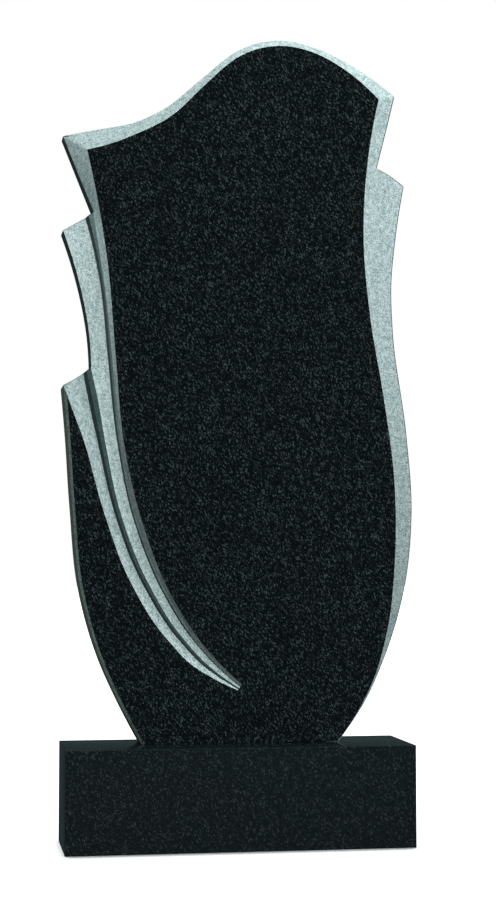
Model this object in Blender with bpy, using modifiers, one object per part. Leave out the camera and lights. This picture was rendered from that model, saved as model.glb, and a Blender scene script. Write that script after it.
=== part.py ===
"""Carved granite headstone: an upright stele, three leaves down its left side, on a plain plinth.

Metres, +Z up, front toward -Y, with the origin at the middle of the plinth's underside. The stele's
edges are drawn in its front view in millimetres, x from the middle of the plinth and z up from the
stele's foot, and each edge is a smooth curve through a few points. Depths are measured back from the
polished front.
"""
import math

import bmesh
import bpy
import numpy as np

MM = 0.001

# Plinth
PLINTH_WIDTH = 0.500
PLINTH_DEPTH = 0.150
PLINTH_HEIGHT = 0.145
PLINTH_ARRIS = 0.0015

# Stele, and how it stands on the plinth
STELE_THICKNESS = 0.070
LEDGE_DEPTH = 0.065
SEAT_GAP = 0.0003

# Corners of the stele's outer edge (x, z)
FOOT_LEFT = (-137, 0)
LEAF_3_TIP = (-252, 515)
NOTCH_3 = (-211, 544)
LEAF_2_TIP = (-253, 744)
NOTCH_2 = (-208, 775)
TOP_LEFT = (-253, 886)
TOP_RIGHT = (242, 960)
RIGHT_NOTCH = (213, 848)
RIGHT_TIP = (260, 827)
FOOT_RIGHT = (150, 0)

# Corners of the polished front
FACE_TOP_LEFT = (-220, 859)
FACE_TOP_RIGHT = (215, 951)
FACE_FOOT_RIGHT = (149, 0)

# Where the leaves end, from the polished front's side to the outer leaf's side
TIP_FACE = (8, 84)
TIP_OUTER = (2, 76)

# Points that the outer edge passes through between its corners
LEFT_SIDE = [(-164, 50), (-196, 120), (-225, 220), (-238, 340), (-246, 450)]
LEAF_3_TOP = [(-233, 527)]
LEAF_2_SIDE = [(-214, 590), (-227, 660)]
LEAF_2_TOP = [(-232, 758)]
LEAF_1_SIDE = [(-232, 834)]
TOP = [(-200, 897), (-150, 906), (-100, 931), (-50, 974), (0, 1015), (60, 1035), (120, 1026), (180, 1000)]
RIGHT_UPPER = [(227, 900)]
RIGHT_SHELF = [(234, 841)]
RIGHT_SIDE = [(186, 50), (220, 120), (252, 220), (265, 330), (258, 450), (239, 600), (238, 680), (245, 740)]

# Points that the polished front's edges pass through
FACE_TOP = [(-150, 884), (-90, 919), (-50, 959), (0, 1004), (60, 1025), (100, 1022), (150, 1002)]
FACE_RIGHT_LOW = [(171, 30), (199, 80), (224, 160), (236, 260), (236, 380)]
FACE_RIGHT_HIGH = [(221, 500), (201, 620), (191, 740), (197, 850)]
FACE_LEFT = [(-39, 130), (-88, 200), (-135, 310), (-164, 430), (-177, 560), (-190, 700)]

# The carved lines of the leaves, from the tip upward
CREST_1 = [(-43, 130), (-92, 200), (-141, 310), (-169, 437), (-178, 520), (-190, 640), (-203, 735)]
FOOT_2 = [(-23, 105), (-64, 150), (-108, 220), (-148, 320), (-173, 440), (-185, 560), (-198, 680)]
RIM_2 = [(-33, 105), (-77, 150), (-128, 230), (-168, 330), (-190, 430), (-202, 500)]
FOOT_3 = [(-40, 105), (-84, 150), (-136, 230), (-176, 330), (-200, 430)]
RIM_3 = [(-28, 90), (-54, 105), (-101, 150), (-153, 230), (-192, 330), (-224, 440), (-239, 480)]

# How far inside the outer edge the foot lines of leaves 2 and 3 start
FOOT_2_INSET = 13
FOOT_3_INSET = 12

# Depths of the carving (z, depth); at the tip every line is TIP_DEPTH deep or less
TIP_DEPTH = 2.5
CREST_1_DEPTH = [(200, 6.0), (310, 5.5), (437, 5.0), (520, 6.0), (640, 9.0), (735, 21.0)]
FOOT_2_DEPTH = [(150, 8.0), (230, 11.0), (330, 15.0), (430, 22.0)]
RIM_2_DEPTH = [(230, 2.0), (330, 3.5), (430, 8.0), (500, 15.0)]
FOOT_3_DEPTH = [(150, 10.0), (230, 12.0), (330, 12.5), (430, 18.0)]
TOP_LEFT_DEPTH = 40.0
NOTCH_2_DEPTH = 38.0
NOTCH_2_FOOT_DEPTH = 46.0
LEAF_2_TIP_DEPTH = 26.0
NOTCH_3_DEPTH = 25.0
NOTCH_3_FOOT_DEPTH = 38.0
NOTCH_3_OUTER_DEPTH = 32.0

# Slopes of the plain bevels: depth gained per unit of width, along the top (x, slope) and down the right side
TOP_SLOPE = [(-255, 1.05), (-140, 1.00), (-95, 0.85), (-30, 0.90), (30, 0.72), (120, 0.72), (200, 0.50)]
RIGHT_SLOPE = 0.45

# Chamfer on the left edge of the polished front below leaf 3
LEFT_ARRIS = 3.5

# The two steps between leaves rise steeply from the foot, then less steeply to the crest; the step above
# the upper notch is at least STEP_LEAST high
STEP_BREAK_WIDTH = 0.42
STEP_BREAK_RISE = 0.70
STEP_LEAST = 2.0

# The level sections through the leaves turn into line with their cut end below this height
TIP_BLEND_TOP = 130.0

# Length of each straight piece that an edge is drawn with
EDGE_PIECE = 14.0

# How far the cutters stand proud of the stone, and how far they run on past its corners
CUTTER_CLEAR = 6.0
CUTTER_RUN_ON = 50.0


def parabola_slopes(x, y):
    """Slope at each knot of the parabola through it and its neighbours."""
    h = np.diff(x)
    s = np.diff(y) / h
    m = np.empty_like(y)
    m[1:-1] = (s[:-1] * h[1:] + s[1:] * h[:-1]) / (h[:-1] + h[1:])
    m[0] = 2 * s[0] - m[1]
    m[-1] = 2 * s[-1] - m[-2]
    return m


def steady_slopes(x, y):
    """Slope at each knot that never makes the curve rise above or fall below its knots."""
    h = np.diff(x)
    s = np.diff(y) / h
    m = np.zeros_like(y)
    same = s[:-1] * s[1:] > 0
    total = np.where(same, s[:-1] + s[1:], 1.0)
    m[1:-1] = np.where(same, 2 * s[:-1] * s[1:] / total, 0.0)
    return m


def cubic(points, at, slopes=parabola_slopes):
    """Value at a coordinate of the cubic pieces through (coordinate, value) points, straight beyond them."""
    x, y = np.array(points, float).T
    m = slopes(x, y)
    h = np.diff(x)
    i = np.clip(np.searchsorted(x, at) - 1, 0, len(x) - 2)
    t = (at - x[i]) / h[i]
    value = ((1 + 2 * t) * (1 - t) ** 2 * y[i] + t * (1 - t) ** 2 * h[i] * m[i]
             + t * t * (3 - 2 * t) * y[i + 1] + t * t * (t - 1) * h[i] * m[i + 1])
    below = y[0] + m[0] * (at - x[0])
    above = y[-1] + m[-1] * (at - x[-1])
    return np.where(at < x[0], below, np.where(at > x[-1], above, value))


def by_height(start, between, end):
    """An edge as (z, x) points, read upward."""
    return sorted((z, x) for x, z in [start, *between, end])


def across(start, between, end):
    """An edge as (x, z) points, read from left to right."""
    return [start, *between, end]


def tip(share):
    """Point on the cut end of the leaves, as a share of the way from the polished front to the outer leaf."""
    return tuple(a + share * (b - a) for a, b in zip(TIP_FACE, TIP_OUTER))


LEFT_EDGE = by_height(FOOT_LEFT, LEFT_SIDE, LEAF_3_TIP)
LEAF_2_EDGE = by_height(NOTCH_3, LEAF_2_SIDE, LEAF_2_TIP)
LEAF_1_EDGE = by_height(NOTCH_2, LEAF_1_SIDE, TOP_LEFT)
RIGHT_UPPER_EDGE = by_height(RIGHT_NOTCH, RIGHT_UPPER, TOP_RIGHT)
RIGHT_EDGE = by_height(FOOT_RIGHT, RIGHT_SIDE, RIGHT_TIP)
FACE_TOP_EDGE = across(FACE_TOP_LEFT, FACE_TOP, FACE_TOP_RIGHT)
FACE_RIGHT_EDGE = by_height(FACE_FOOT_RIGHT, [*FACE_RIGHT_LOW, *FACE_RIGHT_HIGH], FACE_TOP_RIGHT)
FACE_LEFT_EDGE = by_height(TIP_FACE, FACE_LEFT, FACE_TOP_LEFT)
CREST_1_LINE = by_height(tip(0.2), CREST_1, NOTCH_2)
FOOT_2_LINE = by_height(tip(0.4), FOOT_2, (NOTCH_2[0] - FOOT_2_INSET, NOTCH_2[1]))
RIM_2_LINE = by_height(tip(0.65), RIM_2, NOTCH_3)
FOOT_3_LINE = by_height(tip(0.85), FOOT_3, (NOTCH_3[0] - FOOT_3_INSET, NOTCH_3[1]))
RIM_3_LINE = by_height(TIP_OUTER, RIM_3, LEAF_3_TIP)


def depth_at(points, ends, z):
    """Depth of a carved line at height z, from its table between the depths at its two ends."""
    return float(cubic(sorted([*points, *ends]), z, steady_slopes))


def edge_points(points, upright, backward=False):
    """Points (x, z) along one edge, about EDGE_PIECE apart."""
    fine = np.linspace(points[0][0], points[-1][0], 400)
    run = np.hypot(np.diff(fine), np.diff(cubic(points, fine)))
    length = np.concatenate([[0.0], np.cumsum(run)])
    count = max(2, math.ceil(length[-1] / EDGE_PIECE))
    along = np.interp(np.linspace(0.0, length[-1], count + 1), length, fine)
    value = cubic(points, along)
    pairs = list(zip(value, along) if upright else zip(along, value))
    return pairs[::-1] if backward else pairs


def outline():
    """The closed outer edge of the stele, from the left foot over the top to the right foot."""
    parts = (edge_points(LEFT_EDGE, True), edge_points(across(LEAF_3_TIP, LEAF_3_TOP, NOTCH_3), False),
             edge_points(LEAF_2_EDGE, True), edge_points(across(LEAF_2_TIP, LEAF_2_TOP, NOTCH_2), False),
             edge_points(LEAF_1_EDGE, True), edge_points(across(TOP_LEFT, TOP, TOP_RIGHT), False),
             edge_points(RIGHT_UPPER_EDGE, True, True),
             edge_points(across(RIGHT_NOTCH, RIGHT_SHELF, RIGHT_TIP), False),
             edge_points(RIGHT_EDGE, True, True))
    return [parts[0][0]] + [point for part in parts for point in part[1:]]


def material(name, rgb, roughness):
    m = bpy.data.materials.new(name)
    m.use_nodes = True
    shader = m.node_tree.nodes["Principled BSDF"]
    shader.inputs["Base Color"].default_value = (*rgb, 1.0)
    shader.inputs["Roughness"].default_value = roughness
    shader.inputs["Metallic"].default_value = 0.0
    m.diffuse_color = (*rgb, 1.0)
    return m


def loft(name, sections, collection):
    """A closed cutter through sections of equal vertex counts, each a polygon of (x, depth, z)."""
    bm = bmesh.new()
    rings = [[bm.verts.new((x * MM, depth * MM, z * MM)) for x, depth, z in section] for section in sections]
    for low, high in zip(rings[:-1], rings[1:]):
        for i in range(len(low)):
            j = (i + 1) % len(low)
            bm.faces.new((low[i], low[j], high[j], high[i]))
    bm.faces.new(rings[0])
    bm.faces.new(rings[-1])
    bmesh.ops.triangulate(bm, faces=bm.faces[:])
    bmesh.ops.recalc_face_normals(bm, faces=bm.faces[:])
    mesh = bpy.data.meshes.new(name)
    bm.to_mesh(mesh)
    bm.free()
    cutter = bpy.data.objects.new(name, mesh)
    cutter.hide_render = True
    cutter.display_type = "WIRE"
    collection.objects.link(cutter)
    return cutter


def wedge(name, line, slope, reach, collection):
    """A cutter that falls away by the slope from a line on the front, to the left of its direction."""
    points = np.array(line, float)
    run = np.gradient(points, axis=0)
    run /= np.linalg.norm(run, axis=1)[:, None]
    sections = []
    for (x, z), (rx, rz), s, out in zip(points, run, slope, reach):
        sections.append([(x + rz * CUTTER_CLEAR, -s * CUTTER_CLEAR, z - rx * CUTTER_CLEAR),
                         (x - rz * out, s * out, z + rx * out),
                         (x - rz * out, -s * CUTTER_CLEAR, z + rx * out)])
    return loft(name, sections, collection)


def top_cutter(collection):
    """The bevel along the top, carried on past both corners of the polished front."""
    x = np.linspace(FACE_TOP_LEFT[0] - CUTTER_RUN_ON, FACE_TOP_RIGHT[0] + CUTTER_RUN_ON, 52)
    line = list(zip(x, cubic(FACE_TOP_EDGE, x)))
    slope = np.interp(x, *zip(*TOP_SLOPE))
    stops = [FACE_TOP_LEFT[0], FACE_TOP[0][0], FACE_TOP[1][0], FACE_TOP[-2][0], FACE_TOP_RIGHT[0]]
    reach = np.interp(x, stops, [60.0, 50.0, 30.0, 30.0, 45.0])
    return wedge("cut_top", line, slope, reach, collection)


def right_cutter(collection):
    """The bevel down the right side, carried on past the top corner and the foot."""
    z = np.linspace(FACE_TOP_RIGHT[1] + CUTTER_RUN_ON, FACE_FOOT_RIGHT[1] - CUTTER_RUN_ON, 64)
    line = list(zip(cubic(FACE_RIGHT_EDGE, z), z))
    reach = np.interp(z, [0.0, 100.0, 300.0, 700.0, 800.0, 950.0], [25.0, 25.0, 45.0, 80.0, 90.0, 60.0])
    return wedge("cut_right", line, np.full(len(z), RIGHT_SLOPE), reach, collection)


def arris_cutter(collection):
    """The narrow chamfer on the left edge below leaf 3."""
    z = np.linspace(FOOT_LEFT[1] - CUTTER_RUN_ON, LEAF_3_TIP[1] + 0.4 * CUTTER_RUN_ON, 44)
    edge = np.stack([cubic(LEFT_EDGE, z), z], axis=1)
    run = np.gradient(edge, axis=0)
    run /= np.linalg.norm(run, axis=1)[:, None]
    line = edge + LEFT_ARRIS * np.stack([run[:, 1], -run[:, 0]], axis=1)
    return wedge("cut_arris", line, np.ones(len(z)), np.full(len(z), LEFT_ARRIS + CUTTER_CLEAR), collection)


def line_at(points, z, lean):
    """x of a carved line at height z, carried on above its last point straight, leaning to the left."""
    top_z, top_x = points[-1]
    return top_x - lean * (z - top_z) if z > top_z else float(cubic(points, z))


def leaf_section(z_face):
    """Polygon of all that is cut away at one height, from the polished front left over the three leaves.

    Above its notch, each line leaves the stele's edge, so the polygon runs clear outside the stone there.
    """
    near_tip = min(1.0, max(0.0, (TIP_BLEND_TOP - z_face) / (TIP_BLEND_TOP - TIP_FACE[1])))
    turned = near_tip * near_tip * (3.0 - 2.0 * near_tip)

    def height(points):
        return z_face - (TIP_FACE[1] - points[0][0]) * turned

    z_crest, z_foot2, z_rim2 = height(CREST_1_LINE), height(FOOT_2_LINE), height(RIM_2_LINE)
    z_foot3, z_rim3 = height(FOOT_3_LINE), height(RIM_3_LINE)
    x_face = float(cubic(FACE_LEFT_EDGE, z_face))
    x_crest = line_at(CREST_1_LINE, z_crest, 0.55)
    x_foot2 = line_at(FOOT_2_LINE, z_foot2, 0.55)
    x_rim2 = line_at(RIM_2_LINE, z_rim2, 0.35)
    x_foot3 = line_at(FOOT_3_LINE, z_foot3, 0.35)
    x_rim3 = line_at(RIM_3_LINE, z_rim3, 0.30)

    tip_z = TIP_FACE[1]
    crest = depth_at(CREST_1_DEPTH, [(tip_z, 0.5 * TIP_DEPTH), (NOTCH_2[1], NOTCH_2_DEPTH),
                                     (TOP_LEFT[1], TOP_LEFT_DEPTH)], min(z_face, TOP_LEFT[1]))
    if z_face > NOTCH_2[1]:
        x_edge = float(cubic(LEAF_1_EDGE, min(z_face, TOP_LEFT[1])))
        crest *= (x_face - x_crest) / (x_face - x_edge)
    z_low = min(z_face, NOTCH_2[1])
    foot2 = depth_at(FOOT_2_DEPTH, [(tip_z, TIP_DEPTH), (NOTCH_3[1], NOTCH_3_FOOT_DEPTH),
                                    (NOTCH_2[1], NOTCH_2_FOOT_DEPTH)], z_low)
    rim2 = depth_at(RIM_2_DEPTH, [(tip_z, 0.2 * TIP_DEPTH), (NOTCH_3[1], NOTCH_3_DEPTH),
                                  (LEAF_2_TIP[1], LEAF_2_TIP_DEPTH)], min(z_face, LEAF_2_TIP[1]))
    if z_face > NOTCH_3[1]:
        x_edge = float(cubic(LEAF_2_EDGE, min(z_face, LEAF_2_TIP[1])))
        slope = (foot2 - rim2) / (line_at(FOOT_2_LINE, z_low, 0.0) - x_edge)
        rim2 = foot2 - slope * (x_foot2 - x_rim2)
    foot2 = max(foot2, crest + STEP_LEAST) if z_face > NOTCH_2[1] else foot2
    foot3 = depth_at(FOOT_3_DEPTH, [(tip_z, 0.6 * TIP_DEPTH), (NOTCH_3[1], NOTCH_3_OUTER_DEPTH)],
                     min(z_face, NOTCH_3[1]))

    def step(x_foot, z_foot, foot, x_top, z_top, top):
        return (x_foot + STEP_BREAK_WIDTH * (x_top - x_foot), foot - STEP_BREAK_RISE * (foot - top),
                z_foot + STEP_BREAK_WIDTH * (z_top - z_foot))

    into_face = CUTTER_CLEAR * (x_face - x_crest) / crest
    into_rim3 = CUTTER_CLEAR * (x_foot3 - x_rim3) / foot3
    return [(x_face + into_face, -CUTTER_CLEAR, z_face), (x_crest, crest, z_crest),
            step(x_foot2, z_foot2, foot2, x_crest, z_crest, crest), (x_foot2, foot2, z_foot2),
            (x_rim2, rim2, z_rim2), step(x_foot3, z_foot3, foot3, x_rim2, z_rim2, rim2),
            (x_foot3, foot3, z_foot3), (x_rim3 - into_rim3, -CUTTER_CLEAR, z_rim3)]


def leaf_cutter(collection):
    """Everything cut away for the three leaves, in level sections from their tip past the top left corner."""
    stops = (TIP_FACE[1], 200.0, 460.0, NOTCH_3[1], NOTCH_2[1], TOP_LEFT[1] + CUTTER_RUN_ON)
    counts = (14, 16, 8, 14, 11)
    z = [stops[0]]
    for low, high, count in zip(stops[:-1], stops[1:], counts):
        z += list(np.linspace(low, high, count + 1)[1:])
    return loft("cut_leaves", [leaf_section(float(h)) for h in z], collection)


def stele(collection, cutters):
    """The slab as an extruded outline, with the leaves, the bevels and the arris cut from its front."""
    curve = bpy.data.curves.new("stele_outline", "CURVE")
    curve.dimensions = "2D"
    curve.fill_mode = "BOTH"
    curve.extrude = STELE_THICKNESS / 2
    points = outline()
    spline = curve.splines.new("POLY")
    spline.points.add(len(points) - 1)
    for point, (x, z) in zip(spline.points, points):
        point.co = (x * MM, z * MM, 0.0, 1.0)
    spline.use_cyclic_u = True
    drawn = bpy.data.objects.new("stele_outline", curve)
    collection.objects.link(drawn)
    drawn.rotation_euler = (math.pi / 2, 0.0, 0.0)
    drawn.location = (0.0, STELE_THICKNESS / 2, 0.0)
    bpy.context.view_layer.update()
    mesh = bpy.data.meshes.new_from_object(drawn.evaluated_get(bpy.context.evaluated_depsgraph_get()))
    mesh.transform(drawn.matrix_world)
    bpy.data.objects.remove(drawn, do_unlink=True)
    bm = bmesh.new()
    bm.from_mesh(mesh)
    bmesh.ops.remove_doubles(bm, verts=bm.verts[:], dist=1e-6)
    bmesh.ops.recalc_face_normals(bm, faces=bm.faces[:])
    bm.to_mesh(mesh)
    bm.free()
    mesh.name = "stele"
    slab = bpy.data.objects.new("stele", mesh)
    collection.objects.link(slab)
    slab.location = (0.0, LEDGE_DEPTH - PLINTH_DEPTH / 2, PLINTH_HEIGHT + SEAT_GAP)
    for cutter in (leaf_cutter(cutters), top_cutter(cutters), right_cutter(cutters), arris_cutter(cutters)):
        cutter.location = slab.location
        cut = slab.modifiers.new(cutter.name, "BOOLEAN")
        cut.operation = "DIFFERENCE"
        cut.solver = "EXACT"
        cut.object = cutter
    slab.data.materials.clear()
    slab.data.materials.append(material("black_granite_stele", (0.0095, 0.0120, 0.0130), 0.22))
    return slab


def plinth(collection):
    """The block under the stele, with narrow arrises."""
    bpy.ops.mesh.primitive_cube_add(size=1.0, location=(0.0, 0.0, PLINTH_HEIGHT / 2))
    block = bpy.context.active_object
    block.name = "plinth"
    block.data.name = "plinth"
    block.scale = (PLINTH_WIDTH, PLINTH_DEPTH, PLINTH_HEIGHT)
    bpy.ops.object.transform_apply(location=False, rotation=False, scale=True)
    for owner in block.users_collection:
        owner.objects.unlink(block)
    collection.objects.link(block)
    arris = block.modifiers.new("arris", "BEVEL")
    arris.width = PLINTH_ARRIS
    arris.segments = 1
    block.data.materials.append(material("black_granite_plinth", (0.0090, 0.0115, 0.0125), 0.20))
    return block


def main():
    for obj in list(bpy.data.objects):
        bpy.data.objects.remove(obj, do_unlink=True)
    headstone = bpy.data.collections.new("headstone")
    cutters = bpy.data.collections.new("headstone_cutters")
    for collection in (headstone, cutters):
        bpy.context.scene.collection.children.link(collection)
    plinth(headstone)
    stele(headstone, cutters)


main()
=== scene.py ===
"""Looks of the carved granite headstone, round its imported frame.

Row frame, in metres: +Z up, the polished front toward -Y, the origin at the middle of the plinth's
underside. The stele's edges are drawn in its front view in millimetres, x from the middle of the plinth and z
up from the stele's foot, and depths are measured back from its polished front.
"""

import math

import bpy
import numpy as np
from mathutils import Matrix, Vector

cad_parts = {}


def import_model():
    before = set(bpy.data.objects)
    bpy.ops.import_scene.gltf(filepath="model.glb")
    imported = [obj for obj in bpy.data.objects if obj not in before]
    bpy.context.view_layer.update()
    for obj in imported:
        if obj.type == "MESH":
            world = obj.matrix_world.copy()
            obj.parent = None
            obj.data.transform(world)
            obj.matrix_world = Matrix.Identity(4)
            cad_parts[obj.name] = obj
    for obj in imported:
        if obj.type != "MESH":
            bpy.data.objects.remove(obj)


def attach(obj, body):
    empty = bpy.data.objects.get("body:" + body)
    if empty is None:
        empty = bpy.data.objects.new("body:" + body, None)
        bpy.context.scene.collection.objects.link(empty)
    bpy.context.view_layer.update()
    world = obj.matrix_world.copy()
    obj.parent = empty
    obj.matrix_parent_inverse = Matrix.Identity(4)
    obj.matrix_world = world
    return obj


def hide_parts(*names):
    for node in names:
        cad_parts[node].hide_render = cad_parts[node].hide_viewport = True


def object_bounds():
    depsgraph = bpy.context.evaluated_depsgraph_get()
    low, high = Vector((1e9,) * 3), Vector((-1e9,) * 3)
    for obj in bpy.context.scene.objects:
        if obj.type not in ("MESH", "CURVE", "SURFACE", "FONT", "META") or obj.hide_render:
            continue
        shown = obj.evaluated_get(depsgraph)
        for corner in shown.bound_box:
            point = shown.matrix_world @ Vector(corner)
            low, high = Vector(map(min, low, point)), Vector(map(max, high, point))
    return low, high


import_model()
cad_box = [list(corner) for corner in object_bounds()]

MM = 0.001

# Plinth, in metres, and how many points round each of its arrises
PLINTH_WIDTH = 0.500
PLINTH_DEPTH = 0.150
PLINTH_HEIGHT = 0.145
PLINTH_ARRIS = 0.0015
ARRIS_POINTS = 5

# Stele, in metres, and how it stands on the plinth
STELE_THICKNESS = 0.070
LEDGE_DEPTH = 0.065
SEAT_GAP = 0.0003

# Corners of the stele's outer edge (x, z)
FOOT_LEFT = (-137, 0)
LEAF_3_TIP = (-252, 515)
NOTCH_3 = (-211, 544)
LEAF_2_TIP = (-253, 744)
NOTCH_2 = (-208, 775)
TOP_LEFT = (-253, 886)
TOP_RIGHT = (242, 960)
RIGHT_NOTCH = (213, 848)
RIGHT_TIP = (260, 827)
FOOT_RIGHT = (150, 0)

# Corners of the polished front, and the cut end of the leaves
FACE_TOP_LEFT = (-220, 859)
FACE_TOP_RIGHT = (215, 951)
FACE_FOOT_RIGHT = (149, 0)
TIP_FACE = (8, 84)
TIP_OUTER = (2, 76)

# Points that the outer edge passes through between its corners
LEFT_SIDE = [(-164, 50), (-196, 120), (-225, 220), (-238, 340), (-246, 450)]
LEAF_3_TOP = [(-233, 527)]
LEAF_2_SIDE = [(-214, 590), (-227, 660)]
LEAF_2_TOP = [(-232, 758)]
LEAF_1_SIDE = [(-232, 834)]
TOP = [(-200, 897), (-150, 906), (-100, 931), (-50, 974), (0, 1015), (60, 1035), (120, 1026), (180, 1000)]
RIGHT_UPPER = [(227, 900)]
RIGHT_SHELF = [(234, 841)]
RIGHT_SIDE = [(186, 50), (220, 120), (252, 220), (265, 330), (258, 450), (239, 600), (238, 680), (245, 740)]

# Points that the polished front's edges pass through
FACE_TOP = [(-150, 884), (-90, 919), (-50, 959), (0, 1004), (60, 1025), (100, 1022), (150, 1002)]
FACE_RIGHT_LOW = [(171, 30), (199, 80), (224, 160), (236, 260), (236, 380)]
FACE_RIGHT_HIGH = [(221, 500), (201, 620), (191, 740), (197, 850)]
FACE_LEFT = [(-39, 130), (-88, 200), (-135, 310), (-164, 430), (-177, 560), (-190, 700)]

# The carved lines of the leaves, from the tip upward: the crest of the first leaf, and then outward the foot
# of the step beside it, the second leaf's rim, the foot of that leaf's step, and the outer leaf's rim
CREST_1 = [(-43, 130), (-92, 200), (-141, 310), (-169, 437), (-178, 520), (-190, 640), (-203, 735)]
FOOT_2 = [(-23, 105), (-64, 150), (-108, 220), (-148, 320), (-173, 440), (-185, 560), (-198, 680)]
RIM_2 = [(-33, 105), (-77, 150), (-128, 230), (-168, 330), (-190, 430), (-202, 500)]
FOOT_3 = [(-40, 105), (-84, 150), (-136, 230), (-176, 330), (-200, 430)]
RIM_3 = [(-28, 90), (-54, 105), (-101, 150), (-153, 230), (-192, 330), (-224, 440), (-239, 480)]

# Where each line starts, as a share of the cut end from the front outward, and how far outside the notch
# above it the foot of a step ends
CREST_1_START = 0.2
FOOT_2_START = 0.4
RIM_2_START = 0.65
FOOT_3_START = 0.85
FOOT_2_INSET = 13
FOOT_3_INSET = 12

# Depths along the lines (z, depth), at their start on the cut end, and at the corners that they run into
CREST_1_DEPTH = [(200, 6.0), (310, 5.5), (437, 5.0), (520, 6.0), (640, 9.0), (735, 21.0)]
FOOT_2_DEPTH = [(150, 8.0), (230, 11.0), (330, 15.0), (430, 22.0)]
RIM_2_DEPTH = [(230, 2.0), (330, 3.5), (430, 8.0), (500, 15.0)]
FOOT_3_DEPTH = [(150, 10.0), (230, 12.0), (330, 12.5), (430, 18.0)]
CREST_1_START_DEPTH = 1.25
FOOT_2_START_DEPTH = 2.5
RIM_2_START_DEPTH = 0.5
FOOT_3_START_DEPTH = 1.5
TOP_LEFT_DEPTH = 40.0
NOTCH_2_DEPTH = 38.0
NOTCH_2_FOOT_DEPTH = 46.0
LEAF_2_TIP_DEPTH = 26.0
NOTCH_3_DEPTH = 25.0
NOTCH_3_FOOT_DEPTH = 38.0
NOTCH_3_OUTER_DEPTH = 32.0

# Each step is broken once, at this share of its width and of its rise from its foot. Past its notch the
# first step keeps at least the least rise
STEP_BREAK_WIDTH = 0.42
STEP_BREAK_RISE = 0.70
STEP_LEAST = 2.0

# Slopes of the plain bevels along the top (x, slope) and down the right side
TOP_SLOPE = [(-255, 1.05), (-140, 1.00), (-95, 0.85), (-30, 0.90), (30, 0.72), (120, 0.72), (200, 0.50)]
RIGHT_SLOPE = 0.45

# How far the borders of the polished front, which the bevels are measured from, run on past its corners
PAST_LEFT = 60.0
PAST_RIGHT = 50.0
PAST_TOP = 50.0
PAST_FOOT = 30.0

# Width of the chamfer on the lower left edge, the height that it ends at, and the height up to which the lean
# of that edge is worked out
CHAMFER_WIDTH = 3.5
CHAMFER_TOP = 530.0
LEAN_TOP = 600.0

# The rows across the stele dip toward the cut end of the leaves between these heights
TIP_BLEND_LOW = 40.0
TIP_BLEND_TOP = 130.0

# Spacing of the rows along the edges. The fine arris round the outer edge is wider on the right than on the
# left, and along the top it grows from the one width to the other in this rise
ROW_STEP = 3.0
EDGE_ARRIS_LEFT = 0.7
EDGE_ARRIS_RIGHT = 1.3
ARRIS_GROWTH = 20.0

# How many points an upright edge, an arch and a border of the front are sampled at
EDGE_SAMPLES = 1200
ARCH_SAMPLES = 6000
BORDER_SAMPLES = 180

# Lengths in millimetres too small to matter, the spacing in metres within which two points become one, and
# the angles in degrees past which two faces meet in a hard edge
NO_LENGTH = 1e-9
SAME_PLACE = 1e-6
WELD = 2e-6
STELE_HARD_EDGE = 12.0
PLINTH_HARD_EDGE = 40.0


def parabola_slopes(x, y):
    """Slope at each knot of the parabola through it and its neighbours."""
    run = np.diff(x)
    steepness = np.diff(y) / run
    slope = np.empty_like(y)
    slope[1:-1] = (steepness[:-1] * run[1:] + steepness[1:] * run[:-1]) / (run[:-1] + run[1:])
    slope[0] = 2 * steepness[0] - slope[1]
    slope[-1] = 2 * steepness[-1] - slope[-2]
    return slope


def steady_slopes(x, y):
    """Slope at each knot that keeps the curve between its knots: the harmonic mean of both sides, or none."""
    steepness = np.diff(y) / np.diff(x)
    slope = np.zeros_like(y)
    same_way = steepness[:-1] * steepness[1:] > 0
    total = np.where(same_way, steepness[:-1] + steepness[1:], 1.0)
    slope[1:-1] = np.where(same_way, 2 * steepness[:-1] * steepness[1:] / total, 0.0)
    return slope


def cubic(points, at, slopes=parabola_slopes):
    """Value at a running coordinate of the curve through (coordinate, value) points, straight past its ends.

    Between two knots, with t from 0 to 1, it is the cubic that has their values and slopes at its ends.
    """
    x, y = np.array(points, float).T
    m = slopes(x, y)
    h = np.diff(x)
    i = np.clip(np.searchsorted(x, at) - 1, 0, len(x) - 2)
    t = (at - x[i]) / h[i]
    value = ((1 + 2 * t) * (1 - t) ** 2 * y[i] + t * (1 - t) ** 2 * h[i] * m[i]
             + t * t * (3 - 2 * t) * y[i + 1] + t * t * (t - 1) * h[i] * m[i + 1])
    below = y[0] + m[0] * (at - x[0])
    above = y[-1] + m[-1] * (at - x[-1])
    return np.where(at < x[0], below, np.where(at > x[-1], above, value))


def smoothstep(t):
    """Share that leaves 0 and reaches 1 without a kink."""
    t = np.clip(t, 0.0, 1.0)
    return t * t * (3 - 2 * t)


def part_way(low, high, share):
    """Value a share of the way from one to another."""
    return low + share * (high - low)


def by_height(start, between, end):
    """An edge as (z, x) points, read upward."""
    return sorted((z, x) for x, z in [start, *between, end])


def cut_end(share):
    """Point on the cut end of the leaves, a share of the way from the polished front to the outer leaf."""
    return tuple(part_way(a, b, share) for a, b in zip(TIP_FACE, TIP_OUTER))


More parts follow.
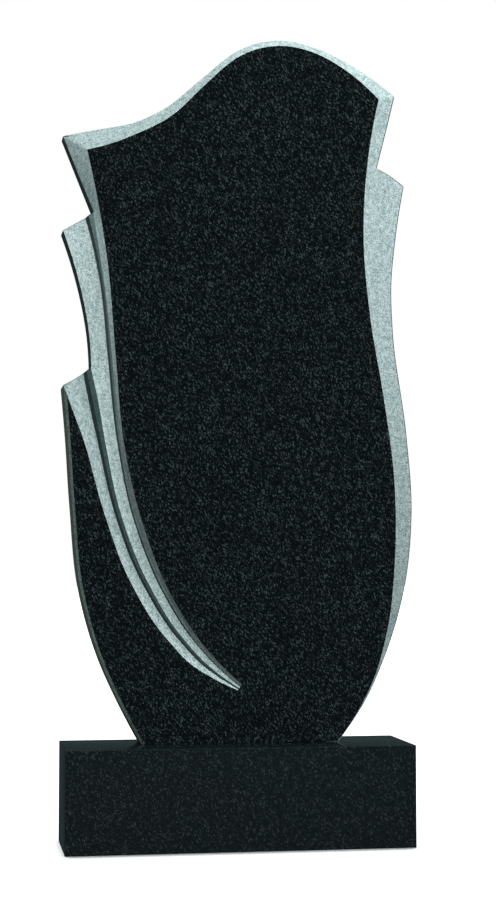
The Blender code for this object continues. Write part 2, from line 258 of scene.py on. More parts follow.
LEFT_EDGE = by_height(FOOT_LEFT, LEFT_SIDE, LEAF_3_TIP)
LEAF_1_EDGE = by_height(NOTCH_2, LEAF_1_SIDE, TOP_LEFT)
LEAF_2_EDGE = by_height(NOTCH_3, LEAF_2_SIDE, LEAF_2_TIP)
LEAF_3_TOP_EDGE = [LEAF_3_TIP, *LEAF_3_TOP, NOTCH_3]
LEAF_2_TOP_EDGE = [LEAF_2_TIP, *LEAF_2_TOP, NOTCH_2]
RIGHT_EDGE = by_height(FOOT_RIGHT, RIGHT_SIDE, RIGHT_TIP)
RIGHT_SHELF_EDGE = [RIGHT_NOTCH, *RIGHT_SHELF, RIGHT_TIP]
RIGHT_UPPER_EDGE = by_height(RIGHT_NOTCH, RIGHT_UPPER, TOP_RIGHT)
TOP_EDGE = [TOP_LEFT, *TOP, TOP_RIGHT]
FACE_TOP_EDGE = [FACE_TOP_LEFT, *FACE_TOP, FACE_TOP_RIGHT]
FACE_RIGHT_EDGE = by_height(FACE_FOOT_RIGHT, [*FACE_RIGHT_LOW, *FACE_RIGHT_HIGH], FACE_TOP_RIGHT)
FACE_LEFT_EDGE = by_height(TIP_FACE, FACE_LEFT, FACE_TOP_LEFT)
FOOT_2_LINE = by_height(cut_end(FOOT_2_START), FOOT_2, (NOTCH_2[0] - FOOT_2_INSET, NOTCH_2[1]))

# The carved lines from the outer rim to the front, each with how far it leans outward past its upper end, for
# every millimetre of height
LEAF_LINES = [
    (by_height(TIP_OUTER, RIM_3, LEAF_3_TIP), 0.30),
    (by_height(cut_end(FOOT_3_START), FOOT_3, (NOTCH_3[0] - FOOT_3_INSET, NOTCH_3[1])), 0.35),
    (by_height(cut_end(RIM_2_START), RIM_2, NOTCH_3), 0.35),
    (FOOT_2_LINE, 0.55),
    (by_height(cut_end(CREST_1_START), CREST_1, NOTCH_2), 0.55),
    (FACE_LEFT_EDGE, 0.0),
]


def upright_chain(*edges):
    """Fine (z, x) points along edges that follow each other upward; one of (x, z) points comes with True."""
    z, x = [], []
    for points, sideways in edges:
        at = np.linspace(points[0][0], points[-1][0], EDGE_SAMPLES)
        value = cubic(points, at)
        z.append(value if sideways else at)
        x.append(at if sideways else value)
    z, x = np.concatenate(z), np.concatenate(x)
    order = np.argsort(z, kind="stable")
    return z[order], x[order]


def halves(points):
    """The rising and the falling half of an arch of (x, z) points, and its summit."""
    at = np.linspace(points[0][0], points[-1][0], ARCH_SAMPLES)
    value = cubic(points, at)
    top = int(np.argmax(value))
    return (value[:top + 1], at[:top + 1]), (value[top:][::-1], at[top:][::-1]), (at[top], value[top])


def joined(low, high):
    """One chain of (z, x) points from two that follow each other upward."""
    return np.concatenate([low[0], high[0]]), np.concatenate([low[1], high[1]])


TOP_RISE, TOP_FALL, SUMMIT = halves(TOP_EDGE)
FACE_RISE, FACE_FALL, FACE_SUMMIT = halves(FACE_TOP_EDGE)
LEFT_CHAIN = joined(upright_chain((LEFT_EDGE, False), (LEAF_3_TOP_EDGE, True), (LEAF_2_EDGE, False),
                                  (LEAF_2_TOP_EDGE, True), (LEAF_1_EDGE, False)), TOP_RISE)
RIGHT_CHAIN = joined(upright_chain((RIGHT_EDGE, False), (RIGHT_SHELF_EDGE, True), (RIGHT_UPPER_EDGE, False)),
                     TOP_FALL)
FACE_LEFT_CHAIN = joined(upright_chain((FACE_LEFT_EDGE, False)), FACE_RISE)
FACE_RIGHT_CHAIN = joined(upright_chain((FACE_RIGHT_EDGE, False)), FACE_FALL)


def row_heights():
    """Heights of the rows: through every corner, and at most ROW_STEP apart along each of the long edges."""
    chains = (LEFT_CHAIN, RIGHT_CHAIN, FACE_LEFT_CHAIN, FACE_RIGHT_CHAIN)
    fine = np.unique(np.concatenate([chain[0] for chain in chains]))
    longest = np.zeros(len(fine) - 1)
    for z, x in chains:
        run = np.concatenate([[0.0], np.cumsum(np.hypot(np.diff(z), np.diff(x)))])
        longest = np.maximum(longest, np.diff(np.interp(fine, z, run)))
    measure = np.concatenate([[0.0], np.cumsum(longest)])
    corners = (TIP_FACE, LEAF_3_TIP, NOTCH_3, LEAF_2_TIP, NOTCH_2, RIGHT_TIP, RIGHT_NOTCH, FACE_TOP_LEFT,
               TOP_LEFT, FACE_TOP_RIGHT, TOP_RIGHT, FACE_SUMMIT, SUMMIT)
    stops = sorted({0.0, TIP_BLEND_TOP, *(float(z) for _, z in corners)})
    rows = [np.array(stops[:1])]
    for low, high in zip(stops[:-1], stops[1:]):
        start, end = np.interp([low, high], fine, measure)
        count = max(1, math.ceil((end - start) / ROW_STEP))
        rows.append(np.interp(np.linspace(start, end, count + 1)[1:], measure, fine))
        rows[-1][-1] = high
    return np.concatenate(rows)


def beyond(x, z, line):
    """Distance from points to a line of straight pieces, positive on its left side, and the line's x there.

    Each point is set against every piece: its place along the piece is held between the piece's ends, and the
    piece that it lies nearest to counts.
    """
    a, b = line[:-1], line[1:]
    run = b - a
    length = np.hypot(run[:, 0], run[:, 1])
    run /= length[:, None]
    px, pz = x.ravel()[:, None], z.ravel()[:, None]
    along = np.clip((px - a[:, 0]) * run[:, 0] + (pz - a[:, 1]) * run[:, 1], 0.0, length)
    gap = np.hypot(px - a[:, 0] - along * run[:, 0], pz - a[:, 1] - along * run[:, 1])
    near = np.argmin(gap, axis=1)
    pick = np.arange(len(near))
    side = run[near, 0] * (pz[:, 0] - a[near, 1]) - run[near, 1] * (px[:, 0] - a[near, 0])
    line_x = a[near, 0] + along[pick, near] * run[near, 0]
    return (np.sign(side) * gap[pick, near]).reshape(x.shape), line_x.reshape(x.shape)


def bevel_depth(x, z):
    """Depth of the two plain bevels: slope times the distance past the polished front's top or right edge."""
    at = np.linspace(FACE_TOP_LEFT[0] - PAST_LEFT, FACE_TOP_RIGHT[0] + PAST_RIGHT, BORDER_SAMPLES)
    above, border_x = beyond(x, z, np.stack([at, cubic(FACE_TOP_EDGE, at)], axis=1))
    at = np.linspace(FACE_TOP_RIGHT[1] + PAST_TOP, -PAST_FOOT, BORDER_SAMPLES)
    outside, _ = beyond(x, z, np.stack([cubic(FACE_RIGHT_EDGE, at), at], axis=1))
    return np.maximum(np.interp(border_x, *zip(*TOP_SLOPE)) * above, RIGHT_SLOPE * outside)


def line_depth(v, points, ends, top):
    """Depth on a carved line in every row, on a curve that keeps between its points; level past the top."""
    return cubic(sorted([*points, *ends]), np.minimum(v, top), steady_slopes)


def leaf_sections(v, carved):
    """The carved section in every row: x, z and depth of its eight corners, from the outer rim to the front.

    A corner's x is its line's curve at the row's height, and past the line's upper end it leans on outward.
    Near the cut end the rows dip outward, so that the row at the front's corner runs along it. Past its notch
    a leaf's depth follows its slope across the row.
    """
    tip_z = TIP_FACE[1]
    dip = np.where(v >= tip_z, smoothstep((TIP_BLEND_TOP - v) / (TIP_BLEND_TOP - tip_z)),
                   smoothstep((v - TIP_BLEND_LOW) / (tip_z - TIP_BLEND_LOW)))
    xs, zs = [], []
    for line, lean in LEAF_LINES:
        z = v - (tip_z - line[0][0]) * dip
        top_z, top_x = line[-1]
        x = np.where((z > top_z) & (lean > 0), top_x - lean * (z - top_z), cubic(line, z))
        xs.append(np.where(v > tip_z, x, line[0][1]))
        zs.append(z)
    rim_3, foot_3, rim_2, foot_2, crest, face = xs

    crest_d = line_depth(v, CREST_1_DEPTH, [(tip_z, CREST_1_START_DEPTH), (NOTCH_2[1], NOTCH_2_DEPTH),
                                            (TOP_LEFT[1], TOP_LEFT_DEPTH)], TOP_LEFT[1])
    edge = cubic(LEAF_1_EDGE, np.minimum(v, TOP_LEFT[1]))
    crest_d = np.where(v > NOTCH_2[1], crest_d * (face - crest) / (face - edge), crest_d)
    foot_2_d = line_depth(v, FOOT_2_DEPTH, [(tip_z, FOOT_2_START_DEPTH), (NOTCH_3[1], NOTCH_3_FOOT_DEPTH),
                                            (NOTCH_2[1], NOTCH_2_FOOT_DEPTH)], NOTCH_2[1])
    rim_2_d = line_depth(v, RIM_2_DEPTH, [(tip_z, RIM_2_START_DEPTH), (NOTCH_3[1], NOTCH_3_DEPTH),
                                          (LEAF_2_TIP[1], LEAF_2_TIP_DEPTH)], LEAF_2_TIP[1])
    edge = cubic(LEAF_2_EDGE, np.minimum(v, LEAF_2_TIP[1]))
    slope = (foot_2_d - rim_2_d) / (cubic(FOOT_2_LINE, np.minimum(v, NOTCH_2[1])) - edge)
    rim_2_d = np.where(v > NOTCH_3[1], foot_2_d - slope * (foot_2 - rim_2), rim_2_d)
    foot_2_d = np.where(v > NOTCH_2[1], np.maximum(foot_2_d, crest_d + STEP_LEAST), foot_2_d)
    foot_3_d = line_depth(v, FOOT_3_DEPTH, [(tip_z, FOOT_3_START_DEPTH), (NOTCH_3[1], NOTCH_3_OUTER_DEPTH)],
                          NOTCH_3[1])

    x = [rim_3, foot_3, part_way(foot_3, rim_2, STEP_BREAK_WIDTH), rim_2, foot_2,
         part_way(foot_2, crest, STEP_BREAK_WIDTH), crest, face]
    z = [zs[0], zs[1], part_way(zs[1], zs[2], STEP_BREAK_WIDTH), zs[2], zs[3],
         part_way(zs[3], zs[4], STEP_BREAK_WIDTH), zs[4], zs[5]]
    d = [0 * v, foot_3_d, part_way(foot_3_d, rim_2_d, STEP_BREAK_RISE), rim_2_d, foot_2_d,
         part_way(foot_2_d, crest_d, STEP_BREAK_RISE), crest_d, 0 * v]
    return np.array(x), np.array(z), np.array(d) * carved


def section_depth(x, corner_x, corner_d):
    """Depth at x in each row, along the straight pieces between that row's section corners."""
    depth = np.zeros_like(x)
    for i in range(len(corner_x) - 1):
        width = np.maximum(corner_x[i + 1] - corner_x[i], NO_LENGTH)[:, None]
        share = (x - corner_x[i][:, None]) / width
        here = (share >= 0) & (share <= 1)
        value = corner_d[i][:, None] + share * (corner_d[i + 1] - corner_d[i])[:, None]
        depth = np.where(here, np.maximum(depth, value), depth)
    return depth


# Finish of each strip between two neighbouring columns of the front, with the painted light or shade that the
# bevels, leaves and steps carry, and into how many parts it is divided.
# FRONT_STRIP is the number of the polished front between its two borders
(POLISHED, TOP_BEVEL, RIGHT_BEVEL, LEAF_1, LEAF_2, LEAF_3, STEP_FOOT, STEP_TOP, OUTER_STEP_TOP, CHAMFER,
 SIDE, BACK) = range(12)
STRIPS = [(CHAMFER, 1), (POLISHED, 2), (LEAF_3, 4), (STEP_FOOT, 1), (OUTER_STEP_TOP, 1), (LEAF_2, 4),
          (STEP_FOOT, 1), (STEP_TOP, 1), (LEAF_1, 4), (TOP_BEVEL, 8), (POLISHED, 8), (TOP_BEVEL, 8),
          (RIGHT_BEVEL, 6)]
FRONT_STRIP = 10
CHAMFER_PARTS = STRIPS[0][1]
PARTS_BEFORE_FRONT = sum(parts for _, parts in STRIPS[:FRONT_STRIP])

# Finish of the plinth's faces
PLINTH_SIDES, PLINTH_TOP = range(2)


def arris_left(v):
    """Width of the arris down the left edge; along the rising top it grows to the width on the right."""
    share = smoothstep((v - TOP_LEFT[1]) / ARRIS_GROWTH)
    return EDGE_ARRIS_LEFT + share * (EDGE_ARRIS_RIGHT - EDGE_ARRIS_LEFT)


def edge_normals(edge):
    """Unit normals to the right of an upward line of (x, z) points, the mean of the pieces beside each."""
    step = np.diff(edge, axis=0)
    size = np.hypot(step[:, 0], step[:, 1])
    step = np.where(size[:, None] > NO_LENGTH, step / np.maximum(size, NO_LENGTH)[:, None], 0.0)
    mean = np.vstack([step[:1], step[:-1] + step[1:], step[-1:]])
    mean /= np.maximum(np.hypot(mean[:, 0], mean[:, 1]), NO_LENGTH)[:, None]
    return np.stack([mean[:, 1], -mean[:, 0]], axis=1)


def chamfer_line(v):
    """Inner border of the chamfer in every row, and how much wider it is along the row than square to it."""
    sampled = np.arange(-1.0, LEAN_TOP)
    lean = np.interp(v, sampled, np.gradient(cubic(LEFT_EDGE, sampled)))
    stretch = np.hypot(1.0, lean)
    return cubic(LEFT_EDGE, np.minimum(v, CHAMFER_TOP)) + CHAMFER_WIDTH * stretch, stretch


def mitre(v, low, high, before, after):
    """A column that follows one line up to a corner, runs straight to a higher one and follows another."""
    share = (v - low[1]) / (high[1] - low[1])
    return np.where(share <= 0, before, np.where(share >= 1, after, part_way(low[0], high[0], share)))


def divided(x, z):
    """Every strip between two columns divided evenly into its parts, and the finish of each part."""
    fine_x, fine_z, finish = [x[0]], [z[0]], []
    for i, (kind, parts) in enumerate(STRIPS):
        for k in range(1, parts + 1):
            fine_x.append(part_way(x[i], x[i + 1], k / parts))
            fine_z.append(part_way(z[i], z[i + 1], k / parts))
            finish.append(kind)
    return np.array(fine_x).T, np.array(fine_z).T, finish


def drawn_in(x, z, v):
    """The front with its two outer columns, and all that meets them, moved inward by the arris's width."""
    for column, inward in ((0, arris_left(v)), (-1, -EDGE_ARRIS_RIGHT)):
        edge = np.stack([x[:, column], z[:, column]], axis=1)
        shift = np.reshape(inward, (-1, 1)) * edge_normals(edge)
        meets = np.hypot(x - edge[:, :1], z - edge[:, 1:]) < SAME_PLACE
        meets[:, column] = True
        x = x + meets * shift[:, :1]
        z = z + meets * shift[:, 1:]
    return x, z


def front_grid():
    """The carved front as rows and columns of x, z and depth, the finish of its faces, and its outer edge.

    Each row runs from the left edge over the leaves and the polished front to the right edge. Its corner
    columns lie on the carved lines, held inside the outer edge, and the columns between them divide each
    strip evenly. The depth is the deepest of the leaves, the two bevels and the chamfer. The row at the
    leaves' cut end comes twice, first uncut and then cut, so that the cut end stands upright.
    """
    heights = row_heights()
    cut = int(np.searchsorted(heights, TIP_FACE[1]))
    v = np.insert(heights, cut, heights[cut])
    carved = (np.arange(len(v)) > cut).astype(float)
    left = np.interp(v, *LEFT_CHAIN)
    right = np.interp(v, *RIGHT_CHAIN)
    corner_x, corner_z, corner_d = leaf_sections(v, carved)
    chamfer_x, stretch = chamfer_line(v)

    face_left = np.where(v <= TIP_FACE[1], corner_x[-1], np.interp(v, *FACE_LEFT_CHAIN))
    face_right = np.interp(v, *FACE_RIGHT_CHAIN)
    over = v > FACE_SUMMIT[1]
    face_left = np.where(over, FACE_SUMMIT[0], face_left)
    face_right = np.where(over, FACE_SUMMIT[0], face_right)
    mitre_left = mitre(v, FACE_TOP_LEFT, TOP_LEFT, corner_x[-1], left)
    mitre_right = mitre(v, FACE_TOP_RIGHT, TOP_RIGHT, face_right, right)

    x = [left, np.minimum(chamfer_x, corner_x[0]), *corner_x[:-1], mitre_left, face_left, face_right,
         mitre_right, right]
    x = [np.minimum(np.maximum(column, left), right) for column in x]
    z = [v, v, *corner_z, np.where(v <= FACE_TOP_LEFT[1], corner_z[-1], v), v, v, v]
    fine_x, fine_z, strip_finish = divided(x, z)
    fine_x, fine_z = drawn_in(fine_x, fine_z, v)

    depth = section_depth(fine_x, corner_x, corner_d)
    depth = np.maximum(depth, bevel_depth(fine_x, fine_z))
    chamfer_depth = (chamfer_x[:, None] - fine_x) / stretch[:, None]
    depth = np.maximum(depth, chamfer_depth * (v < CHAMFER_TOP)[:, None])
    finish = np.tile(strip_finish, (len(v) - 1, 1))
    finish[:cut + 1, CHAMFER_PARTS:PARTS_BEFORE_FRONT] = POLISHED
    return fine_x, fine_z, np.maximum(depth, 0.0), finish, np.stack([left, v, right])


def grid_faces(rows, columns, first=0, flip=False):
    """Corner numbers of the faces of a grid of points numbered row by row."""
    r, c = np.meshgrid(np.arange(rows - 1), np.arange(columns - 1), indexing="ij")
    a = first + r * columns + c
    quads = np.stack([a, a + 1, a + columns + 1, a + columns], axis=-1).reshape(-1, 4)
    return quads[:, ::-1] if flip else quads


def closed_mesh(name, points, quads, quad_finish, polygons, polygon_finish, hard_edge):
    """A closed solid from faces whose seam points coincide.

    Points in the same place are merged. A corner that falls on the one before it is dropped, and so is a face
    that is left with fewer than three corners or meets itself.
    """
    key = np.round(points / WELD).astype(np.int64)
    _, first, number = np.unique(key, axis=0, return_index=True, return_inverse=True)
    number = number.ravel()
    quads = number[quads]
    kept = quads != np.roll(quads, 1, axis=1)
    meets_itself = (quads[:, 0] == quads[:, 2]) | (quads[:, 1] == quads[:, 3])
    whole = (kept.sum(axis=1) > 2) & ~meets_itself
    rings = [number[ring] for ring in polygons]
    rings = [ring[ring != np.roll(ring, 1)] for ring in rings]
    corners = np.concatenate([quads[whole][kept[whole]], *rings])
    sides = np.concatenate([kept[whole].sum(axis=1), [len(ring) for ring in rings]])
    mesh = bpy.data.meshes.new(name)
    mesh.vertices.add(len(first))
    mesh.vertices.foreach_set("co", points[first].ravel())
    mesh.loops.add(len(corners))
    mesh.loops.foreach_set("vertex_index", corners)
    mesh.polygons.add(len(sides))
    mesh.polygons.foreach_set("loop_start", np.cumsum(sides) - sides)
    mesh.polygons.foreach_set("material_index", np.concatenate([quad_finish[whole], polygon_finish]))
    mesh.polygons.foreach_set("use_smooth", np.ones(len(sides), bool))
    mesh.update(calc_edges=True)
    mesh.set_sharp_from_angle(angle=math.radians(hard_edge))
    mesh.update()
    made = bpy.data.objects.new(name, mesh)
    bpy.context.scene.collection.objects.link(made)
    return made


def stele():
    """The slab: its carved front, side walls with arrises at both rims, its flat back and its flat foot.

    Each side wall is a grid with the front's rows. In every row it runs from the front's outer point over the
    front arris, square back to the back arris, and over that to the back. All is held inside the frame's box,
    which rounding could pass by a hair.
    """
    x, z, depth, finish, (left, v, right) = front_grid()
    rows, columns = x.shape
    thick = STELE_THICKNESS / MM
    points = [np.stack([x, z, depth], axis=-1).reshape(-1, 3)]
    quads = [grid_faces(rows, columns)]
    kinds = [finish.ravel()]
    back_rims, foot_sides = [], []
    start = rows * columns
    for column, edge_x, arris, inward, top_corner in (
            (0, left, arris_left(v), 1.0, TOP_LEFT),
            (columns - 1, right, np.full(rows, EDGE_ARRIS_RIGHT), -1.0, TOP_RIGHT)):
        edge = np.stack([edge_x, v], axis=1)
        inner = edge + inward * arris[:, None] * edge_normals(edge)
        near = depth[:, column]
        wall = [np.column_stack([x[:, column], z[:, column], near]),
                np.column_stack([edge, near + arris]),
                np.column_stack([edge, 0.5 * (near + thick)]),
                np.column_stack([edge, thick - arris]),
                np.column_stack([inner, np.full(rows, thick)])]
        points.append(np.stack(wall, axis=1).reshape(-1, 3))
        quads.append(grid_faces(rows, len(wall), start, flip=column == 0))
        wall_finish = np.full((rows - 1, len(wall) - 1), SIDE)
        wall_finish[v[1:] > top_corner[1], 0] = TOP_BEVEL
        if column == 0:
            wall_finish[v[1:] <= LEAF_3_TIP[1], :-1] = CHAMFER
        kinds.append(wall_finish.ravel())
        back_rims.append(start + np.arange(rows) * len(wall) + len(wall) - 1)
        foot_sides.append(start + np.arange(1, len(wall)))
        start += rows * len(wall)
    back = np.concatenate([back_rims[0], back_rims[1][::-1]])
    foot = np.concatenate([np.arange(columns)[::-1], foot_sides[0], foot_sides[1][::-1]])

    points = np.concatenate(points)
    placed = np.column_stack([points[:, 0] * MM, LEDGE_DEPTH - PLINTH_DEPTH / 2 + points[:, 2] * MM,
                              PLINTH_HEIGHT + SEAT_GAP + points[:, 1] * MM])
    placed = np.clip(placed, cad_box[0], cad_box[1])
    return closed_mesh("stele_dressed", placed, np.concatenate(quads), np.concatenate(kinds), [back, foot],
                       [BACK, BACK], STELE_HARD_EDGE)


def plinth():
    """The block: a rounded rectangle in plan, carried up a profile that rounds its lower and upper arris."""
    r = PLINTH_ARRIS
    quarter = np.linspace(0.0, math.pi / 2, ARRIS_POINTS)
    inset = np.concatenate([r - r * np.sin(quarter), r - r * np.cos(quarter)])
    height = np.concatenate([r - r * np.cos(quarter), PLINTH_HEIGHT - r + r * np.sin(quarter)])
    turn = np.concatenate([quarter + k * math.pi / 2 for k in range(4)])
    corner_x = np.repeat([1, -1, -1, 1], ARRIS_POINTS) * (PLINTH_WIDTH / 2 - r)
    corner_y = np.repeat([1, 1, -1, -1], ARRIS_POINTS) * (PLINTH_DEPTH / 2 - r)
    reach = (r - inset)[:, None]
    x = corner_x + reach * np.cos(turn)
    y = corner_y + reach * np.sin(turn)
    z = np.repeat(height[:, None], len(turn), axis=1)
    ring = np.concatenate([np.arange(len(turn)), [0]])
    x, y, z = x[:, ring], y[:, ring], z[:, ring]
    rows, columns = x.shape
    points = np.stack([x, y, z], axis=-1).reshape(-1, 3)
    quads = grid_faces(rows, columns)
    bottom = np.arange(columns - 1)[::-1]
    top = (rows - 1) * columns + np.arange(columns - 1)
    return closed_mesh("plinth_dressed", points, quads, np.full(len(quads), PLINTH_SIDES), [bottom, top],
                       [PLINTH_SIDES, PLINTH_TOP], PLINTH_HARD_EDGE)


# Grain of the polished stone: width in millimetres, length in widths, lean in degrees, and the size in
# millimetres of the loose patches that it gathers in
GRAIN_WIDTH = 1.25
GRAIN_LENGTH = 2.1
GRAIN_LEAN = -30.0
GRAIN_PATCH = 15.0

# How much a patch adds to a grain's chance of being bright, and the power that leaves few grains bright
PATCH_GAIN = 0.2
BRIGHT_POWER = 7.0

# Mottling of the ground stone: sizes of its patches and grains in millimetres, how much the patches add, the
# range of the two together, and the depth of its pits in millimetres
MOTTLE_PATCH = 7.0
MOTTLE_GRAIN = 2.2
MOTTLE_GAIN = 0.35
MOTTLE_RANGE = (0.495, 0.855)
PIT_DEPTH = 0.5

# Colours of the ground stone between its grains and on them
GROUND_DARK = "#849D9D"
GROUND_PALE = "#DDF0F0"

# Numbers of the share, the two colours and the result where colours are mixed
MIX_SHARE, MIX_FIRST, MIX_SECOND, MIX_RESULT = 0, 6, 7, 2


def linear(hex_colour):
    """Linear colour with alpha from an sRGB hex value."""
    s = np.array([int(hex_colour[i:i + 2], 16) for i in (1, 3, 5)]) / 255
    return (*np.where(s <= 0.04045, s / 12.92, ((s + 0.055) / 1.055) ** 2.4), 1.0)


def add(tree, kind, inputs=None, **settings):
    """A new node with its settings; an input given as a node or socket is linked, and any other is set."""
    made = tree.nodes.new(kind)
    for name, value in settings.items():
        setattr(made, name, value)
    for key, value in (inputs or {}).items():
        if isinstance(value, bpy.types.Node):
            value = value.outputs[0]
        if isinstance(value, bpy.types.NodeSocket):
            tree.links.new(value, made.inputs[key])
        else:
            made.inputs[key].default_value = value
    return made


def new_material(name, inputs):
    """A new material with the constants of its shader set, its nodes, and its shader."""
    made = bpy.data.materials.new(name)
    made.use_nodes = True
    shader = made.node_tree.nodes["Principled BSDF"]
    for key, value in inputs.items():
        shader.inputs[key].default_value = value
    return made, made.node_tree, shader


def polished_granite(name, dark, bright, roughness, specular=0.2):
    """Black gabbro, sawn and polished: angular grains that lean one way, most of them black and a few of them
    grey feldspar, gathered here and there into loose patches."""
    made, tree, shader = new_material(name, {"Roughness": roughness, "Specular IOR Level": specular,
                                             "IOR": 1.5})
    place = add(tree, "ShaderNodeTexCoord")
    leaning = add(tree, "ShaderNodeMapping", {"Vector": place.outputs["Object"],
                                              "Rotation": (0.0, math.radians(GRAIN_LEAN), 0.0),
                                              "Scale": (1.0, 1.0, GRAIN_LENGTH)}, vector_type="TEXTURE")
    grains = add(tree, "ShaderNodeTexVoronoi", {"Vector": leaning, "Scale": 1.0 / (GRAIN_WIDTH * MM)})
    chance = add(tree, "ShaderNodeSeparateXYZ", {"Vector": grains.outputs["Color"]})
    patches = add(tree, "ShaderNodeTexNoise", {"Vector": place.outputs["Object"],
                                               "Scale": 1.0 / (GRAIN_PATCH * MM),
                                               "Detail": 2.0, "Roughness": 0.6})
    lifted = add(tree, "ShaderNodeMath", {0: patches.outputs["Fac"], 1: PATCH_GAIN, 2: chance.outputs["X"]},
                 operation="MULTIPLY_ADD")
    spread = add(tree, "ShaderNodeMapRange", {"Value": lifted, "From Min": 0.5 * PATCH_GAIN,
                                              "From Max": 1.0 + 0.5 * PATCH_GAIN})
    tone = add(tree, "ShaderNodeMath", {0: spread, 1: BRIGHT_POWER}, operation="POWER")
    colour = add(tree, "ShaderNodeMix", {MIX_SHARE: tone, MIX_FIRST: linear(dark),
                                         MIX_SECOND: linear(bright)}, data_type="RGBA")
    tree.links.new(colour.outputs[MIX_RESULT], shader.inputs["Base Color"])
    return made


def ground_granite(name, shade=1.0, fade=None, dark=GROUND_DARK, pale=GROUND_PALE):
    """The same stone without its polish, so that it scatters light: fine mottling in soft patches.

    The shade, a factor on both colours, is painted light and shade: above 1 it paints a face lighter, and
    below 1 darker. With fade, as (axis, start, end, shade at the start), it changes evenly along the stele's
    X or Z, between the two places in millimetres, and ends at the shade given first, so that painted shade
    grows toward one end.
    """
    made, tree, shader = new_material(name, {"Roughness": 0.75, "Specular IOR Level": 0.3})
    place = add(tree, "ShaderNodeTexCoord")
    patches = add(tree, "ShaderNodeTexNoise", {"Vector": place.outputs["Object"],
                                               "Scale": 1.0 / (MOTTLE_PATCH * MM),
                                               "Detail": 1.0, "Roughness": 0.5})
    grains = add(tree, "ShaderNodeTexNoise", {"Vector": place.outputs["Object"],
                                              "Scale": 1.0 / (MOTTLE_GRAIN * MM),
                                              "Detail": 2.0, "Roughness": 0.6})
    blend = add(tree, "ShaderNodeMath", {0: patches.outputs["Fac"], 1: MOTTLE_GAIN,
                                         2: grains.outputs["Fac"]}, operation="MULTIPLY_ADD")
    tone = add(tree, "ShaderNodeMapRange", {"Value": blend, "From Min": MOTTLE_RANGE[0],
                                            "From Max": MOTTLE_RANGE[1]})
    colours = []
    for factor in (shade, fade[3]) if fade else (shade,):
        ends = [(*np.minimum(factor * np.array(linear(end)[:3]), 1.0), 1.0) for end in (dark, pale)]
        mottled = add(tree, "ShaderNodeMix", {MIX_SHARE: tone, MIX_FIRST: ends[0], MIX_SECOND: ends[1]},
                      data_type="RGBA")
        colours.append(mottled.outputs[MIX_RESULT])
    colour = colours[0]
    if fade:
        axis, start, end, _ = fade
        lift = PLINTH_HEIGHT + SEAT_GAP if axis == "Z" else 0.0
        at = add(tree, "ShaderNodeSeparateXYZ", {"Vector": place.outputs["Object"]})
        share = add(tree, "ShaderNodeMapRange", {"Value": at.outputs[axis], "From Min": lift + start * MM,
                                                 "From Max": lift + end * MM})
        faded = add(tree, "ShaderNodeMix", {MIX_SHARE: share, MIX_FIRST: colours[1],
                                            MIX_SECOND: colours[0]}, data_type="RGBA")
        colour = faded.outputs[MIX_RESULT]
    tree.links.new(colour, shader.inputs["Base Color"])
    bump = add(tree, "ShaderNodeBump", {"Height": grains.outputs["Fac"], "Strength": 0.2,
                                        "Distance": PIT_DEPTH * MM})
    tree.links.new(bump.outputs["Normal"], shader.inputs["Normal"])
    return made


# Materials of the stele: the bevels, the leaves and the step walls are copies of the ground stone, made
# lighter or darker by painted light and shade
STELE_FINISHES_AND_PAINTED_SHADING = {
    # Polished smooth and almost black, so that its grey grains and soft reflections are all that shows
    POLISHED: polished_granite("black_gabbro_polished", "#080D0E", "#3D484B", 0.12),
    # Ground matt: pale frosted grey, with painted shade that darkens it toward its left end
    TOP_BEVEL: ground_granite("black_gabbro_ground_top_painted_shade", 0.9, ("X", -70.0, 60.0, 0.72)),
    # Ground matt: pale at the shoulder, with painted shade that greys it down the side
    RIGHT_BEVEL: ground_granite("black_gabbro_ground_right_painted_shade", 0.94, ("Z", 200.0, 800.0, 0.62)),
    # Ground matt, with painted shade that leaves it dark grey low down and fades away as it rises to pale
    LEAF_1: ground_granite("black_gabbro_ground_painted_shade_low", 0.83, ("Z", 400.0, 760.0, 0.21)),
    # Ground matt, with painted light that makes it the palest, and painted shade that greys its lower end
    LEAF_2: ground_granite("black_gabbro_ground_painted_light", 1.18, ("Z", 150.0, 480.0, 0.70)),
    # Ground matt and evenly pale, a little darkened by painted shade
    LEAF_3: ground_granite("black_gabbro_ground_outer_painted_shade", 0.87),
    # Painted shade: the dark line along the foot of each step
    STEP_FOOT: ground_granite("black_gabbro_painted_shade_step_foot", dark="#182626", pale="#2C3C3C"),
    # Painted shade: a mid grey band on the step between that line and the first leaf
    STEP_TOP: ground_granite("black_gabbro_painted_shade_step_top", dark="#435554", pale="#6C807E"),
    # Painted shade: a darker band on the outer step between that line and the second leaf
    OUTER_STEP_TOP: ground_granite("black_gabbro_painted_shade_outer_step_top", dark="#2C3D3F", pale="#4A5D5F"),
    # Honed: a grey line down the lower left edge, and a grey wall beside it
    CHAMFER: ground_granite("black_gabbro_honed_chamfer", dark="#39443F", pale="#66756F"),
    # Polished less finely than the front: a dark grey wall with broad, soft reflections
    SIDE: polished_granite("black_gabbro_polished_edge", "#1A2625", "#384644", 0.25),
    # Sawn and left plain, on the back and under the foot: dull, dark grey
    BACK: ground_granite("black_gabbro_sawn_back", dark="#2E383A", pale="#4C585A"),
}
PLINTH_FINISHES = {
    # Polished, and a shade greyer than the stele, with fainter grain
    PLINTH_SIDES: polished_granite("black_gabbro_polished_plinth", "#121819", "#333A3C", 0.15,
                                   specular=0.12),
    # Polished to a mirror, so that the top shows the light from behind and the foot of the stele
    PLINTH_TOP: polished_granite("black_gabbro_mirror_top", "#11191A", "#1E2829", 0.05, specular=0.5),
}

stele_piece = stele()
for kind in range(len(STELE_FINISHES_AND_PAINTED_SHADING)):
    stele_piece.data.materials.append(STELE_FINISHES_AND_PAINTED_SHADING[kind])
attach(stele_piece, "root")
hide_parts("stele")

